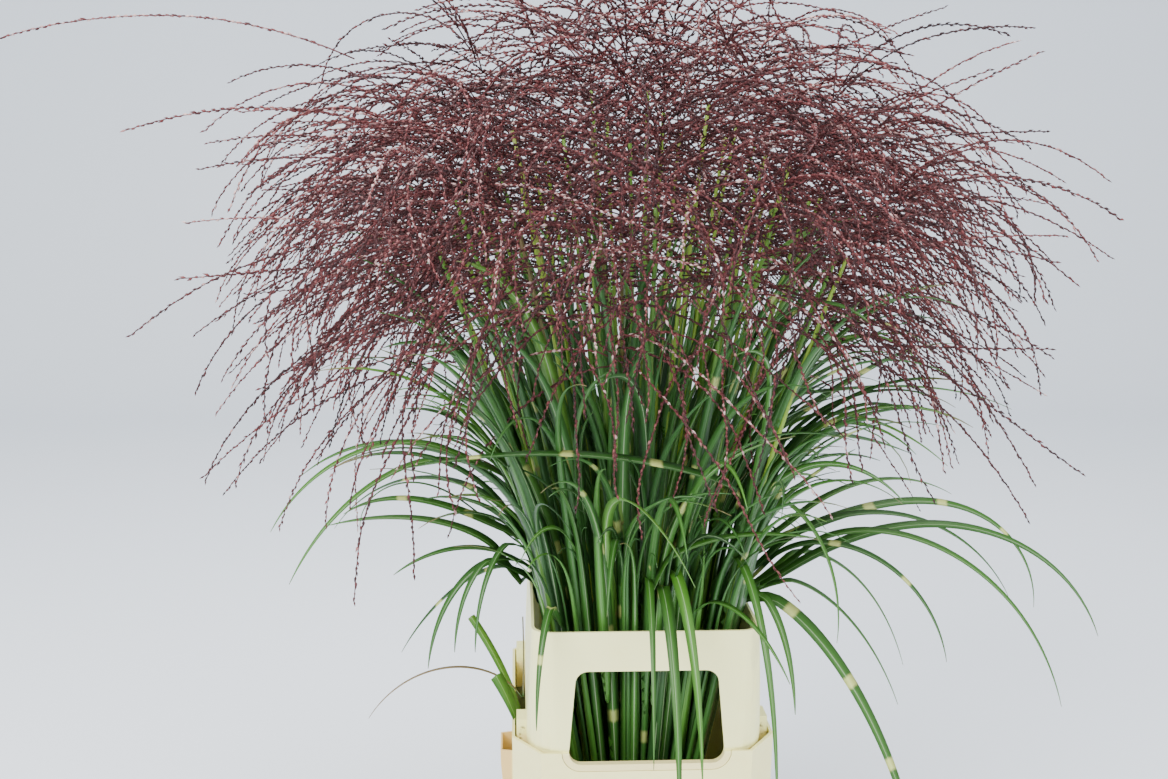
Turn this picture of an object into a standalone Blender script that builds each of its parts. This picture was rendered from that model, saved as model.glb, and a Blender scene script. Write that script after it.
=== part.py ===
"""Cut miscanthus grass standing in a cream two-part flower container.

The container is an eight-sided tub with a separate tapered collar stood in its
mouth.  The grass is a fan of stems from the tub's floor, each with a drooping
plume at its top, and long blades that leave the outer stems and arch over.
Metres, +Z up; the origin is the middle of the tub's flat base, the window side
faces -Y.
"""

import math

import bmesh
import bpy
import numpy as np

# Tub
TUB_WIDTH = 0.280
TUB_DEPTH = 0.370
TUB_HEIGHT = 0.300
TUB_BASE_WIDTH = 0.236
TUB_BASE_DEPTH = 0.318
TUB_WAIST_HEIGHT = 0.220
TUB_WAIST_INSET = 0.002
TUB_WALL = 0.003
TUB_FLOOR = 0.0035
CHAMFER_ACROSS = 0.030
CHAMFER_ALONG = 0.046

# Hand-grip pockets on the tub's long sides
POCKET_LENGTH = 0.060
POCKET_TOP = 0.237
POCKET_BOTTOM = 0.150
POCKET_PROUD = 0.0155
POCKET_WALL = 0.002

# Collar
COLLAR_TOP = 0.4275
COLLAR_BOTTOM = 0.262
COLLAR_WALL = 0.003
COLLAR_SKIRT_GAP = 0.001
COLLAR_SIDE_AT_RIM = 0.1252
COLLAR_SIDE_AT_TOP = 0.1194
COLLAR_FRONT_AT_TOP = 0.1770
COLLAR_SHOULDER = 0.0020
COLLAR_TUCK = 0.0030
CORNER_STEPS = 6

# Window and sill of the collar
WINDOW_TOP = 0.386
WINDOW_BOTTOM = 0.287
WINDOW_HALF_TOP = 0.0746
WINDOW_HALF_BOTTOM = 0.0811
WINDOW_CORNER = 0.013
SILL_HEIGHT = 0.007
SILL_GAP = 0.0006

# Spacer lugs between the collar and the tub's sides
LUG_LENGTH = 0.030
LUG_FRONT_INSET = 0.057
LUG_TOP = 0.3145
LUG_OUTER = 0.1352

# Grass
GAP = 0.0004
STEM_FOOT = TUB_FLOOR + 3 * GAP
STEM_RADIUS_FOOT = 0.0038
STEM_RADIUS_TIP = 0.0020
FAN_START_ACROSS = 0.032
FAN_START_ALONG = 0.060
FAN_SLOPE_ACROSS = 0.193
FAN_SLOPE_ALONG = 0.235
FAN_FLARE = 0.35
STEM_RINGS = ((9, 0.95, -90.0), (6, 0.62, -70.0), (3, 0.30, -30.0))
TIP_HEIGHT_CENTRE = 0.985
TIP_HEIGHT_DROP = 0.115
BLADE_THICKNESS = 0.0012

# Plumes, one for each ring of stems: length, last slope in degrees, bend, half width, half depth
PLUME_SHAPES = (
    (0.360, -90.0, 0.50, 0.036, 0.015),
    (0.250, -30.0, 0.75, 0.034, 0.014),
    (0.265, 20.0, 0.75, 0.030, 0.018),
)

# Blades: the outer stem that carries it, its heading from straight right in degrees,
# where it leaves the stem, its length, its first and last slope in degrees, its width
# and its bend: 1 is an even arch, less falls sooner
BLADES = (
    ("blade_front_middle", 0, -84.0, 0.520, 0.480, 62.0, -93.0, 0.013, 0.35),
    ("blade_front_right", 1, -73.0, 0.500, 0.400, 50.0, -92.0, 0.012, 0.55),
    ("blade_front_left", 8, -117.0, 0.470, 0.230, 50.0, -92.0, 0.010, 0.50),
    ("blade_corner_low", 1, -50.0, 0.455, 0.280, 42.0, -75.0, 0.009, 0.50),
    ("blade_corner_high", 1, -38.0, 0.560, 0.420, 30.0, -70.0, 0.010, 1.00),
    ("blade_banded_right", 2, -22.0, 0.440, 0.400, 30.0, -82.0, 0.014, 0.60),
    ("blade_right_low", 2, -9.0, 0.462, 0.470, 40.0, -88.0, 0.012, 1.00),
    ("blade_right_long", 2, 3.0, 0.470, 0.470, 42.0, -70.0, 0.013, 1.00),
    ("blade_right_high", 3, 18.0, 0.580, 0.380, 50.0, -15.0, 0.013, 1.00),
    ("blade_right_rear", 3, 42.0, 0.500, 0.470, 48.0, -62.0, 0.013, 1.00),
    ("blade_rear_right", 4, 58.0, 0.460, 0.480, 55.0, -75.0, 0.013, 1.00),
    ("blade_rear_high", 4, 82.0, 0.550, 0.350, 52.0, -50.0, 0.013, 1.00),
    ("blade_rear_middle", 5, 98.0, 0.450, 0.420, 50.0, -88.0, 0.012, 1.00),
    ("blade_left_rear", 6, 138.0, 0.560, 0.400, 50.0, -40.0, 0.012, 1.00),
    ("blade_left_high", 6, 162.0, 0.570, 0.440, 48.0, -66.0, 0.011, 1.00),
    ("blade_left_long", 7, 178.0, 0.500, 0.360, 45.0, -40.0, 0.014, 1.00),
    ("blade_left_low", 7, 203.0, 0.455, 0.300, 48.0, -86.0, 0.012, 1.00),
)

# Blades caught between the collar and the tub's left side: place along the side,
# heading, length, first and last slope, width
CAUGHT_BLADES = (
    ("blade_caught_long", -0.056, 0.240, 86.0, 52.0, 0.0080),
    ("blade_caught_cut", -0.084, 0.130, 86.0, 62.0, 0.0130),
)
CAUGHT_FOOT_ACROSS = -0.1295
CAUGHT_FOOT_HEIGHT = 0.268

# The one raceme that reaches far out to the left
LONE_START = (-0.300, -0.060, 1.010)
LONE_LENGTH = 0.430
LONE_HEADING = 176.0
LONE_SLOPES = (24.0, -24.0)
LONE_RADIUS = 0.0030


def clear_scene():
    for obj in list(bpy.data.objects):
        bpy.data.objects.remove(obj, do_unlink=True)


def make_material(name, colour, roughness):
    material = bpy.data.materials.new(name)
    material.use_nodes = True
    shader = material.node_tree.nodes["Principled BSDF"]
    shader.inputs["Base Color"].default_value = (*colour, 1.0)
    shader.inputs["Roughness"].default_value = roughness
    shader.inputs["Metallic"].default_value = 0.0
    return material


def add_body(name, rings, material, sharp_degrees=40.0, open_ended=False):
    """One closed body: equal rings of points joined in order.  The first and last ring are filled,
    or, on an open-ended body such as a sleeve, joined to each other."""
    count = len(rings[0])
    bm = bmesh.new()
    loops = [[bm.verts.new(point) for point in ring] for ring in rings]
    pairs = list(zip(loops[:-1], loops[1:]))
    if open_ended:
        pairs.append((loops[-1], loops[0]))
    for low, high in pairs:
        for side in range(count):
            following = (side + 1) % count
            bm.faces.new((low[side], low[following], high[following], high[side]))
    if not open_ended:
        bm.faces.new(loops[0])
        bm.faces.new(loops[-1])
    bmesh.ops.recalc_face_normals(bm, faces=bm.faces)
    mesh = bpy.data.meshes.new(name)
    bm.to_mesh(mesh)
    bm.free()
    mesh.materials.append(material)
    mesh.shade_smooth()
    mesh.set_sharp_from_angle(angle=math.radians(sharp_degrees))
    obj = bpy.data.objects.new(name, mesh)
    bpy.context.scene.collection.objects.link(obj)
    return obj


def helper(obj):
    """A body used only to cut or join another one."""
    obj.hide_render = True
    obj.display_type = "WIRE"
    return obj


def boolean(obj, other, operation):
    modifier = obj.modifiers.new(f"{operation.lower()} {other.name}", "BOOLEAN")
    modifier.operation = operation
    modifier.solver = "EXACT"
    modifier.object = helper(other)


def box(name, low, high, material):
    """An upright box between two corners."""
    corners = [(low[0], low[1]), (high[0], low[1]), (high[0], high[1]), (low[0], high[1])]
    rings = [np.array([(x, y, z) for x, y in corners]) for z in (low[2], high[2])]
    return add_body(name, rings, material, 30.0)


# ---------------------------------------------------------------- container


def octagon(half_width, half_depth, height):
    """A rectangle with long chamfers, in proportion to its size."""
    across = CHAMFER_ACROSS * half_width / (TUB_WIDTH / 2)
    along = CHAMFER_ALONG * half_depth / (TUB_DEPTH / 2)
    quarter = [(half_width, half_depth - along), (half_width - across, half_depth)]
    outline = quarter + [(-x, y) for x, y in reversed(quarter)]
    outline += [(-x, -y) for x, y in outline]
    return np.array([(x, y, height) for x, y in outline])


def tub_half_sizes(height):
    """Half width and half depth of the tub's outside at a height."""
    rim = np.array([TUB_WIDTH / 2, TUB_DEPTH / 2])
    waist = rim - TUB_WAIST_INSET
    base = np.array([TUB_BASE_WIDTH / 2, TUB_BASE_DEPTH / 2])
    if height >= TUB_WAIST_HEIGHT:
        share = (height - TUB_WAIST_HEIGHT) / (TUB_HEIGHT - TUB_WAIST_HEIGHT)
        return waist + (rim - waist) * share
    return base + (waist - base) * height / TUB_WAIST_HEIGHT


def window_prism(name, grow, top, y_range, material):
    """A rounded trapezium run along Y: the window's outline, grown by a margin."""
    centres = [
        (-WINDOW_HALF_BOTTOM + WINDOW_CORNER, WINDOW_BOTTOM + WINDOW_CORNER, 180.0),
        (WINDOW_HALF_BOTTOM - WINDOW_CORNER, WINDOW_BOTTOM + WINDOW_CORNER, 270.0),
        (WINDOW_HALF_TOP - WINDOW_CORNER, top - WINDOW_CORNER, 0.0),
        (-WINDOW_HALF_TOP + WINDOW_CORNER, top - WINDOW_CORNER, 90.0),
    ]
    outline = []
    for x, z, start in centres:
        for angle in np.radians(start + np.linspace(0.0, 90.0, CORNER_STEPS + 1)):
            reach = WINDOW_CORNER + grow
            outline.append((x + reach * math.cos(angle), z + reach * math.sin(angle)))
    rings = [np.array([(x, y, z) for x, z in outline]) for y in y_range]
    return add_body(name, rings, material)


def pocket_rings(side, inset, top):
    """Rings of a hand-grip pocket, which runs out to nothing at its foot; its hollow is inset
    from it, and runs past its open side."""
    rings = []
    for height in (POCKET_BOTTOM + 2 * inset, POCKET_BOTTOM + 0.03, TUB_WAIST_HEIGHT, top):
        wall = tub_half_sizes(height)[0]
        share = min(1.0, (height - POCKET_BOTTOM) / 0.03)
        outer = wall + POCKET_PROUD * (0.25 + 0.75 * share) - inset
        inner = wall + GAP - 2 * inset
        half = POCKET_LENGTH / 2 - inset
        outline = [(inner, -half), (outer, -half + 0.004), (outer, half - 0.004), (inner, half)]
        rings.append(np.array([(side * x, y, height) for x, y in outline]))
    return rings


def make_tub(material):
    heights = (0.0, TUB_WAIST_HEIGHT, TUB_HEIGHT)
    rings = [octagon(*tub_half_sizes(height), height) for height in heights]
    inner_heights = (TUB_HEIGHT, TUB_WAIST_HEIGHT, TUB_FLOOR)
    rings += [octagon(*(tub_half_sizes(height) - TUB_WALL), height) for height in inner_heights]
    tub = add_body("tub", rings, material, 20.0)
    depth = TUB_DEPTH / 2
    for side, word in ((-1, "front"), (1, "rear")):
        reach = (side * (depth - 0.020), side * (depth + 0.020))
        notch = window_prism(f"notch {word}", SILL_HEIGHT + SILL_GAP, WINDOW_TOP, reach, material)
        boolean(tub, notch, "DIFFERENCE")
    return tub


def make_pockets(material):
    for side, word in ((-1, "left"), (1, "right")):
        pocket = add_body(f"pocket_{word}", pocket_rings(side, 0.0, POCKET_TOP), material)
        hollow = pocket_rings(side, POCKET_WALL, POCKET_TOP + 0.010)
        boolean(pocket, add_body(f"pocket hollow {word}", hollow, material), "DIFFERENCE")


def collar_ring(half_width, half_depth, height, roundness):
    """A rectangle with elliptical corners; roundness 1 follows the tub's chamfers, 0 is a tight corner."""
    across = 0.020 + 0.014 * roundness
    along = 0.020 + 0.030 * roundness
    outline = []
    for start, sx, sy in ((0.0, 1, 1), (90.0, -1, 1), (180.0, -1, -1), (270.0, 1, -1)):
        for angle in np.radians(start + np.linspace(0.0, 90.0, CORNER_STEPS + 1)):
            x = sx * (half_width - across) + across * math.cos(angle)
            y = sy * (half_depth - along) + along * math.sin(angle)
            outline.append((x, y, height))
    return np.array(outline)


def collar_section(height):
    """Half width, half depth and corner roundness of the collar's outside at a height."""
    share = (height - TUB_HEIGHT) / (COLLAR_TOP - TUB_HEIGHT)
    half_width = COLLAR_SIDE_AT_RIM + (COLLAR_SIDE_AT_TOP - COLLAR_SIDE_AT_RIM) * share
    skirt = TUB_DEPTH / 2 - TUB_WALL - COLLAR_SKIRT_GAP
    if height <= TUB_HEIGHT:
        tuck = COLLAR_TUCK * (TUB_HEIGHT - height) / (TUB_HEIGHT - COLLAR_BOTTOM)
        return COLLAR_SIDE_AT_RIM - tuck, skirt - tuck, 1.0
    above = skirt + COLLAR_SHOULDER
    half_depth = above + (COLLAR_FRONT_AT_TOP - above) * share
    half_depth -= COLLAR_SHOULDER * max(0.0, 1 - (height - TUB_HEIGHT) / 0.006) ** 2
    return half_width, half_depth, (1.0 - share) ** 1.5


def make_collar(material):
    heights = (COLLAR_BOTTOM, 0.3003, 0.303, 0.306, 0.330, 0.365, COLLAR_TOP)
    rings = []
    for height in heights:
        half_width, half_depth, roundness = collar_section(height)
        rings.append(collar_ring(half_width, half_depth, height, roundness))
    for height in reversed(heights):
        half_width, half_depth, roundness = collar_section(height)
        rings.append(collar_ring(half_width - COLLAR_WALL, half_depth - COLLAR_WALL, height, roundness))
    collar = add_body("collar", rings, material, 50.0, open_ended=True)
    depth = TUB_DEPTH / 2
    for side, word in ((-1, "front"), (1, "rear")):
        sill_reach = (side * (depth - 0.0095), side * (depth - 0.0008))
        sill = window_prism(f"sill {word}", SILL_HEIGHT, WINDOW_TOP, sill_reach, material)
        above = box(
            f"above sill {word}", (-0.2, side * depth - 0.02, TUB_HEIGHT - 0.0005),
            (0.2, side * depth + 0.02, COLLAR_TOP + 0.05), material,
        )
        boolean(sill, above, "DIFFERENCE")
        boolean(collar, sill, "UNION")
        for left_right in (-1, 1):
            inner = left_right * (COLLAR_SIDE_AT_RIM - 0.0015)
            outer = left_right * LUG_OUTER
            near = side * (depth - LUG_FRONT_INSET)
            far = near - side * LUG_LENGTH
            lug = box(
                f"lug {word} {left_right}", (min(inner, outer), min(near, far), COLLAR_BOTTOM + 0.004),
                (max(inner, outer), max(near, far), LUG_TOP), material,
            )
            boolean(collar, lug, "UNION")
        reach = (side * (depth - 0.040), side * (depth + 0.020))
        window = window_prism(f"window {word}", 0.0, WINDOW_TOP, reach, material)
        boolean(collar, window, "DIFFERENCE")
    return collar


# ---------------------------------------------------------------- grass


def fan(height):
    """Half sizes of the bundle of stems at a height: a straight fan that flares above the collar."""
    flare = FAN_FLARE * np.maximum(height - COLLAR_TOP, 0.0) ** 2
    across = FAN_START_ACROSS + FAN_SLOPE_ACROSS * height + flare
    along = FAN_START_ALONG + FAN_SLOPE_ALONG * height
    return across, along


def stem_points(place, heights):
    """The stem at a place in the bundle's unit circle; no two stems of the fan can meet."""
    across, along = fan(heights)
    return np.stack([place[0] * across, place[1] * along, heights], axis=1)


def directions(points):
    steps = np.gradient(points, axis=0)
    return steps / np.linalg.norm(steps, axis=1, keepdims=True)


def sweep(points, heading, half_widths, half_depths, sides):
    """Rings of an elliptical section carried along a path; the wide axis stays level."""
    along = directions(points)
    level = np.array([-math.sin(heading), math.cos(heading), 0.0])
    level = level - along * (along @ level)[:, None]
    level /= np.linalg.norm(level, axis=1, keepdims=True)
    other = np.cross(along, level)
    angles = np.linspace(0.0, 2 * math.pi, sides, endpoint=False)
    rings = []
    for point, wide, deep, a, b in zip(points, half_widths, half_depths, level, other):
        rings.append(point + np.outer(np.cos(angles) * wide, a) + np.outer(np.sin(angles) * deep, b))
    return rings


def arch(start, heading, length, slopes, steps, bend=1.0):
    """A path that leaves start at the first slope and ends at the last one, in one upright plane."""
    share = np.linspace(0.0, 1.0, 8 * steps + 1)
    slope = np.radians(slopes[0] + (slopes[1] - slopes[0]) * share**bend)
    step = length / (len(share) - 1)
    middle = (slope[1:] + slope[:-1]) / 2
    out = np.concatenate([[0.0], np.cumsum(np.cos(middle) * step)])
    up = np.concatenate([[0.0], np.cumsum(np.sin(middle) * step)])
    path = np.stack([math.cos(heading) * out, math.sin(heading) * out, up], axis=1) + np.asarray(start)
    return path[::8]


def stem_places():
    """Unit-circle place and ring number of every stem."""
    places = []
    for ring, (count, radius, first) in enumerate(STEM_RINGS):
        for turn in np.radians(first + 360.0 / count * np.arange(count)):
            places.append((radius * math.cos(turn), radius * math.sin(turn), ring))
    return places


def stem_radius(height):
    share = height / TIP_HEIGHT_CENTRE
    return STEM_RADIUS_FOOT + (STEM_RADIUS_TIP - STEM_RADIUS_FOOT) * share


def make_stem_and_plume(number, place, stem_material, plume_material):
    x, y, ring = place
    top = TIP_HEIGHT_CENTRE - TIP_HEIGHT_DROP * (x * x + y * y)
    heights = np.concatenate([[STEM_FOOT], np.linspace(0.25, top, 7)])
    points = stem_points((x, y), heights)
    heading = math.atan2(y, x)
    radii = stem_radius(heights)
    add_body(f"stem_{number:02d}", sweep(points, heading, radii, radii, 6), stem_material)
    last = directions(points)[-1]
    slope = math.degrees(math.asin(last[2]))
    out = math.atan2(last[1], last[0])
    length, last_slope, bend, half_width, half_depth = PLUME_SHAPES[ring]
    start = points[-1] + last * 4 * GAP
    path = arch(start, out, length, (slope, last_slope), 9, bend)
    share = np.linspace(0.0, 1.0, 10)
    swell = np.sin(math.pi * share**0.8) ** 0.7
    wide = 0.0022 + (half_width - 0.0022) * swell
    deep = 0.0022 + (half_depth - 0.0022) * swell
    add_body(f"plume_{number:02d}", sweep(path, out, wide, deep, 8), plume_material, 60.0)


def blade_widths(width, share):
    """Half width along a blade: a narrow foot, full width in the middle and a long point."""
    foot = np.minimum(1.0, 0.35 + share / 0.12)
    return 0.5 * width * np.minimum(foot, 1.0) * np.maximum(1.0 - share**2.2, 0.03)


def add_blade(name, start, heading, length, slopes, width, bend, material, cut_off=False):
    steps = 10
    path = arch(start, heading, length, slopes, steps, bend)
    share = np.linspace(0.0, 1.0, steps + 1)
    half_widths = blade_widths(width, share * (0.6 if cut_off else 1.0))
    half_depths = 0.5 * BLADE_THICKNESS * np.maximum(1.0 - share**3, 0.25)
    add_body(name, sweep(path, heading, half_widths, half_depths, 4), material, 60.0)


def make_blades(places, material):
    for name, stem, heading, height, length, first, last, width, bend in BLADES:
        place = places[stem][:2]
        centre = stem_points(place, np.array([height]))[0]
        turn = math.radians(heading)
        off = (stem_radius(height) + BLADE_THICKNESS / 2) / math.sin(math.radians(first)) + 6 * GAP
        start = centre + np.array([math.cos(turn) * off, math.sin(turn) * off, 0.0])
        add_blade(name, start, turn, length, (first, last), width, bend, material)
    for name, along, length, first, last, width in CAUGHT_BLADES:
        start = np.array([CAUGHT_FOOT_ACROSS, along, CAUGHT_FOOT_HEIGHT])
        add_blade(name, start, math.pi, length, (first, last), width, 1.0, material, cut_off=True)


def make_lone_raceme(material):
    path = arch(LONE_START, math.radians(LONE_HEADING), LONE_LENGTH, LONE_SLOPES, 10)
    radii = LONE_RADIUS * (1.0 - 0.6 * np.linspace(0.0, 1.0, 11))
    add_body("raceme_lone", sweep(path, math.radians(LONE_HEADING), radii, radii, 5), material)


def main():
    clear_scene()
    tub_plastic = make_material("tub plastic", (0.84, 0.77, 0.58), 0.45)
    collar_plastic = make_material("collar plastic", (0.82, 0.78, 0.60), 0.45)
    green_stem = make_material("green stem", (0.16, 0.28, 0.05), 0.50)
    green_blade = make_material("green blade", (0.05, 0.18, 0.04), 0.50)
    plume_hair = make_material("plume", (0.16, 0.06, 0.07), 0.85)
    make_tub(tub_plastic)
    make_pockets(tub_plastic)
    make_collar(collar_plastic)
    places = stem_places()
    for number, place in enumerate(places, start=1):
        make_stem_and_plume(number, place, green_stem, plume_hair)
    make_blades(places, green_blade)
    make_lone_raceme(plume_hair)


main()
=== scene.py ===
# %% [markdown]
# # Cut miscanthus grass in a two-part flower container
# The real object is a fan of cut grass stems that stand on the floor of a cream
# plastic tub, held upright by a tapered collar.  Each stem ends in a drooping
# plume, and long narrow leaves, some with pale bands, arch out between them.
#
# The imported model gives the sizes.  It is loaded first, and its box is kept.

# %% Load the frame
import math

import bpy
import numpy as np
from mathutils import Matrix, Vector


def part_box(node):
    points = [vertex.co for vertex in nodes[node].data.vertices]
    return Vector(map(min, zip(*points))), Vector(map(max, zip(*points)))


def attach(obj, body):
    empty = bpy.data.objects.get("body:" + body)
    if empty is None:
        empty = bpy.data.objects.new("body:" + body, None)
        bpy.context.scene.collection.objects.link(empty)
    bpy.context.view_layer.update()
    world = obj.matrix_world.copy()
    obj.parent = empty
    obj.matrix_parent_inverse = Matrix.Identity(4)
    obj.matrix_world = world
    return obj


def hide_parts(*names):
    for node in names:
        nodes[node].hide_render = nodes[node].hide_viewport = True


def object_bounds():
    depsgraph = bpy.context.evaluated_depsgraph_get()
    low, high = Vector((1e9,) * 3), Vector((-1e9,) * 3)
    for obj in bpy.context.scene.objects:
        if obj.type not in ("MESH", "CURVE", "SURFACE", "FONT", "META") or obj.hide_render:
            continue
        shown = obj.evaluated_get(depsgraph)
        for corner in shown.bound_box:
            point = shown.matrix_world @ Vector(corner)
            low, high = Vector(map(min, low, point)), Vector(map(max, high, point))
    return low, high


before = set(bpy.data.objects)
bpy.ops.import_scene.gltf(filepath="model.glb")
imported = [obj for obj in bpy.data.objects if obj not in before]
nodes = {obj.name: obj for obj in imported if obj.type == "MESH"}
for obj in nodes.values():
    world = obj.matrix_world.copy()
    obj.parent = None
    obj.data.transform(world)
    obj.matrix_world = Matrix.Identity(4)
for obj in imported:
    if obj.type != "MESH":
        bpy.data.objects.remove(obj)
cad_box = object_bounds()
COLLAR_TOP = float(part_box("collar")[1][2])
tub_low, tub_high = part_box("tub")
RIM = float(tub_high[2])
TUB_FRONT = float(tub_low[1])
TUB_SIDE = 0.140
print("collar top", round(COLLAR_TOP, 4), "rim", round(RIM, 4), "front", round(TUB_FRONT, 4))

# %% [markdown]
# ## Camera
# The camera stands a little above the plumes' foot and looks down on the
# container by about nine degrees, from slightly left of it.  A camera that only
# turns about its own centre keeps the plant's proportions, so no lens shift is
# used.

# %% Camera
VIEW_TURN = 0.0484          # how far the container is turned from the line of sight, radians
VIEW_DISTANCE = 1.562
VIEW_ASIDE = -0.0584
VIEW_HEIGHT = 0.8955
VIEW_DOWN = 0.1546
VIEW_ROLL = -0.0031
FRAME_WIDTH, FOCAL = 1168.0, 1400.0
SENSOR = 36.0

camera_data = bpy.data.cameras.new("studio camera")
camera_data.sensor_width = SENSOR
camera_data.lens = SENSOR * FOCAL / FRAME_WIDTH
camera_data.clip_end = 30.0
camera = bpy.data.objects.new("studio camera", camera_data)
bpy.context.scene.collection.objects.link(camera)
turn = np.array([
    [math.cos(VIEW_TURN), math.sin(VIEW_TURN)],
    [-math.sin(VIEW_TURN), math.cos(VIEW_TURN)]])
place = turn @ np.array([VIEW_ASIDE, -VIEW_DISTANCE])
camera.location = (place[0], place[1], VIEW_HEIGHT)
camera.rotation_euler = (math.pi / 2 - VIEW_DOWN, VIEW_ROLL, -VIEW_TURN)
bpy.context.scene.camera = camera
print("camera at", np.round(camera.location, 3))

# %% [markdown]
# ## Arrays into meshes
# Every new piece is worked out as arrays of points and of faces.  One helper puts
# them into a mesh, with a number per point for each pattern that the materials
# read, such as how far along a leaf the point lies.

# %% Mesh helper
def add_piece(name, points, face_groups, materials, point_values=None, face_values=None):
    """A mesh piece from points (n, 3) and a list of face arrays, each (m, corners)."""
    mesh = bpy.data.meshes.new(name)
    points = np.ascontiguousarray(points.reshape(-1, 3), np.float32)
    loops = np.concatenate([faces.reshape(-1) for faces in face_groups]).astype(np.int32)
    sizes = np.concatenate([np.full(len(faces), faces.shape[1]) for faces in face_groups])
    starts = np.concatenate([[0], np.cumsum(sizes)[:-1]]).astype(np.int32)
    mesh.vertices.add(len(points))
    mesh.vertices.foreach_set("co", points.reshape(-1))
    mesh.loops.add(len(loops))
    mesh.loops.foreach_set("vertex_index", loops)
    mesh.polygons.add(len(sizes))
    mesh.polygons.foreach_set("loop_start", starts)
    mesh.update(calc_edges=True)
    mesh.shade_smooth()
    for domain, values in (("POINT", point_values or {}), ("FACE", face_values or {})):
        for key, numbers in values.items():
            layer = mesh.attributes.new(key, "FLOAT", domain)
            layer.data.foreach_set("value", np.ascontiguousarray(numbers, np.float32).reshape(-1))
    for material in materials:
        mesh.materials.append(material)
    piece = bpy.data.objects.new(name, mesh)
    bpy.context.scene.collection.objects.link(piece)
    return piece


def unit(vectors):
    """Each vector divided by its length."""
    return vectors / np.maximum(np.linalg.norm(vectors, axis=-1, keepdims=True), 1e-12)


# %% [markdown]
# ## One sweep for stems, leaves and racemes
# A grass plant is made of long thin things.  Each is a section carried along a
# path.  Doing hundreds of paths in one array keeps it quick: paths have the shape
# (how many, points along, 3) and sections (how many, points along, corners).

# %% Sweep many paths
def frames_along(paths, level):
    """Tangent, sideways and upward unit vectors at each point: the sideways one starts
    as the given level direction and is made square to the tangent."""
    tangent = unit(np.gradient(paths, axis=1))
    side = level - tangent * np.sum(level * tangent, axis=-1, keepdims=True)
    side = unit(side)
    return tangent, side, np.cross(tangent, side)


def swept(paths, side, up, across, above):
    """Points of every section: the path point, plus the section's x along the sideways
    vector and its y along the upward one."""
    ring = paths[:, :, None, :] + across[..., None] * side[:, :, None, :]
    return ring + above[..., None] * up[:, :, None, :]


def swept_faces(count, rings, corners):
    """Quads between neighbouring rings of each sweep, and a cap at both ends."""
    grid = np.arange(count * rings * corners).reshape(count, rings, corners)
    following = np.roll(grid, -1, axis=2)
    quads = np.stack([grid[:, :-1], following[:, :-1], following[:, 1:], grid[:, 1:]], axis=-1)
    caps = np.concatenate([grid[:, 0, ::-1], grid[:, -1]])
    return [quads.reshape(-1, 4), caps]


def arches(starts, headings, lengths, first, last, bend, steps):
    """Paths in upright planes: the slope goes from first to last (radians) with the share
    of the length raised to bend, and its cosine and sine are added up step by step."""
    share = np.linspace(0.0, 1.0, steps + 1)
    slope = first[:, None] + (last - first)[:, None] * share[None, :] ** bend[:, None]
    middle = (slope[:, 1:] + slope[:, :-1]) / 2
    step = (lengths / steps)[:, None]
    zero = np.zeros((len(starts), 1))
    out = np.concatenate([zero, np.cumsum(np.cos(middle) * step, axis=1)], axis=1)
    rise = np.concatenate([zero, np.cumsum(np.sin(middle) * step, axis=1)], axis=1)
    flat = np.stack([np.cos(headings)[:, None] * out, np.sin(headings)[:, None] * out, rise], axis=-1)
    return starts[:, None, :] + flat


def level_of(headings):
    """The level unit vector square to each heading, shaped to go with paths."""
    return np.stack([-np.sin(headings), np.cos(headings), np.zeros_like(headings)], axis=-1)[:, None, :]


# %% [markdown]
# ## Shader helpers
# A finish is built from a few shared effects.  Each effect is a node group with
# named sockets, so that the plastic, the leaves and the stems can use the same
# grain at their own scales.

# %% Node helpers
def new_group(name, inputs, outputs):
    """A shader node group with the named sockets, as (group, input node, output node)."""
    group = bpy.data.node_groups.new(name, "ShaderNodeTree")
    for label, kind, value in inputs:
        socket = group.interface.new_socket(name=label, in_out="INPUT", socket_type=kind)
        if value is not None:
            socket.default_value = value
    for label, kind in outputs:
        group.interface.new_socket(name=label, in_out="OUTPUT", socket_type=kind)
    return group, group.nodes.new("NodeGroupInput"), group.nodes.new("NodeGroupOutput")


def math_node(tree, operation, first, second=None, clamp=False):
    """A Math node whose inputs are sockets or plain numbers."""
    node = tree.nodes.new("ShaderNodeMath")
    node.operation = operation
    node.use_clamp = clamp
    for socket, value in zip(node.inputs, (first, second)):
        if value is None:
            continue
        if isinstance(value, (int, float)):
            socket.default_value = value
        else:
            tree.links.new(value, socket)
    return node.outputs[0]


def mix_colour(tree, factor, first, second):
    """A colour Mix node whose inputs are sockets or plain values."""
    node = tree.nodes.new("ShaderNodeMix")
    node.data_type = "RGBA"
    for socket, value in ((node.inputs[0], factor), (node.inputs[6], first), (node.inputs[7], second)):
        if isinstance(value, bpy.types.NodeSocket):
            tree.links.new(value, socket)
        elif isinstance(value, (int, float)):
            socket.default_value = value
        else:
            socket.default_value = (*value, 1.0)
    return node.outputs[2]


def ramp(tree, factor, stops):
    """A colour ramp: stops are (position, colour)."""
    node = tree.nodes.new("ShaderNodeValToRGB")
    elements = node.color_ramp.elements
    while len(elements) < len(stops):
        elements.new(1.0)
    for element, (position, colour) in zip(elements, stops):
        element.position = position
        element.color = (*colour, 1.0)
    tree.links.new(factor, node.inputs[0])
    return node.outputs[0]


def attribute(tree, name):
    """The number that the mesh keeps under this name."""
    node = tree.nodes.new("ShaderNodeAttribute")
    node.attribute_name = name
    return node.outputs["Fac"]


def object_place(tree):
    """Object coordinates, and their x, y and z."""
    node = tree.nodes.new("ShaderNodeTexCoord")
    split = tree.nodes.new("ShaderNodeSeparateXYZ")
    tree.links.new(node.outputs["Object"], split.inputs[0])
    return node.outputs["Object"], split.outputs[0], split.outputs[1], split.outputs[2]


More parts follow.
